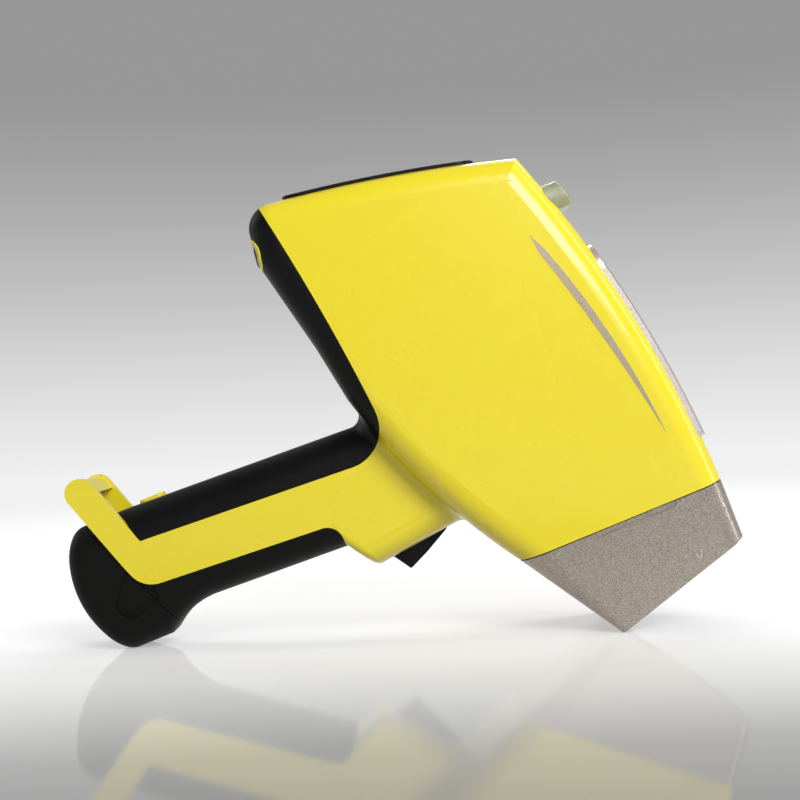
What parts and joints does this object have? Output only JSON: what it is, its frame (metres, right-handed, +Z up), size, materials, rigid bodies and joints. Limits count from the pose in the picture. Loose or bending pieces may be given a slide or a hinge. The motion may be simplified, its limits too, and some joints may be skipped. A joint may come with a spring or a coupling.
{
  "type": "handheld xrf analyzer",
  "caption": "Pistol-shaped handheld X-ray fluorescence analyzer with a two-part shell, metallic nose, trigger, rear screen, strap loop and slide-out battery.",
  "frame": {"origin": "centre of the box around the instrument, at table level", "axes": "+X points to the nose's side along the table, +Y across the instrument towards its left side, +Z up; the instrument lies as it rests on its nose's lower edge and the front corner of its battery cap"},
  "size_m": [0.3128, 0.0842, 0.2194],
  "materials": {
    "yellow_shell": "gloss",
    "black_soft": "matt",
    "black_hard": "satin",
    "silver_paint": "metallic",
    "silver_trim": "satin",
    "lamp_clear": "frosted",
    "screen_glass": "gloss",
    "lcd": "gloss",
    "steel": "satin",
    "aluminium": "satin",
    "circuit_green": "gloss",
    "brass": "satin",
    "film": "gloss",
    "filter_metal": "satin"
  },
  "bodies": {
    "instrument": {"housing_right": "yellow_shell", "housing_left": "yellow_shell", "spine_cover": "black_hard", "front_grip": "black_soft", "nose_housing": "silver_paint", "nose_gasket": "black_soft", "front_plate": "black_hard", "window_ring": "steel", "window_film": "film", "ring_screws": "steel", "top_cover": "silver_paint", "accent_right": "silver_trim", "accent_left": "silver_trim", "lamp_lens": "lamp_clear", "lamp_board": "circuit_green", "screen_bezel": "black_hard", "screen_glass": "screen_glass", "lcd_module": "lcd", "keypad_rim": "yellow_shell", "keypad_board": "circuit_green", "trigger_pin": "steel", "trigger_spring": "steel", "trigger_switch": "black_hard", "chassis": "aluminium", "engine_block": "aluminium", "xray_tube": "steel", "high_voltage_supply": "black_hard", "detector": "steel", "preamp_board": "circuit_green", "processor_board": "circuit_green", "filter_motor": "steel", "battery_contacts": "brass", "housing_screws": "steel"},
    "right_key": {"right_key": "black_soft"},
    "power_key": {"power_key": "black_soft"},
    "left_key": {"left_key": "black_soft"},
    "release_button": {"release_button": "yellow_shell"},
    "trigger": {"trigger": "black_hard"},
    "filter_wheel": {"filter_wheel": "aluminium", "beam_filters": "filter_metal"},
    "battery": {"battery_pack": "black_hard", "battery_terminals": "brass", "battery_cap": "black_soft"}
  },
  "joints": [
    {"name": "trigger_pull", "type": "hinge", "parent": "instrument", "child": "trigger", "pos_m": [0.01601, 0, 0.05405], "axis": [0, 1, 0], "range_deg": [0, 8], "stiffness_Nm_per_rad": 0.25, "springref_deg": -11.46},
    {"name": "right_key_press", "type": "slide", "parent": "instrument", "child": "right_key", "axis": [0.9414, 0, 0.3373], "range_m": [0, 0.0008], "stiffness_N_per_m": 1200, "springref_m": -0.0008},
    {"name": "power_key_press", "type": "slide", "parent": "instrument", "child": "power_key", "axis": [0.9414, 0, 0.3373], "range_m": [0, 0.0008], "stiffness_N_per_m": 1200, "springref_m": -0.0008},
    {"name": "left_key_press", "type": "slide", "parent": "instrument", "child": "left_key", "axis": [0.9414, 0, 0.3373], "range_m": [0, 0.0008], "stiffness_N_per_m": 1200, "springref_m": -0.0008},
    {"name": "release_button_press", "type": "slide", "parent": "instrument", "child": "release_button", "axis": [0.3373, 0, -0.9414], "range_m": [0, 0.0015], "stiffness_N_per_m": 1500, "springref_m": -0.001},
    {"name": "battery_slide", "type": "slide", "parent": "instrument", "child": "battery", "axis": [-0.955, 0, -0.2965], "range_m": [0, 0.13]},
    {"name": "filter_wheel_spin", "type": "hinge", "parent": "instrument", "child": "filter_wheel", "pos_m": [0.10917, 0, 0.0232], "axis": [0.8262, 0, -0.5634], "continuous": true}
  ]
}
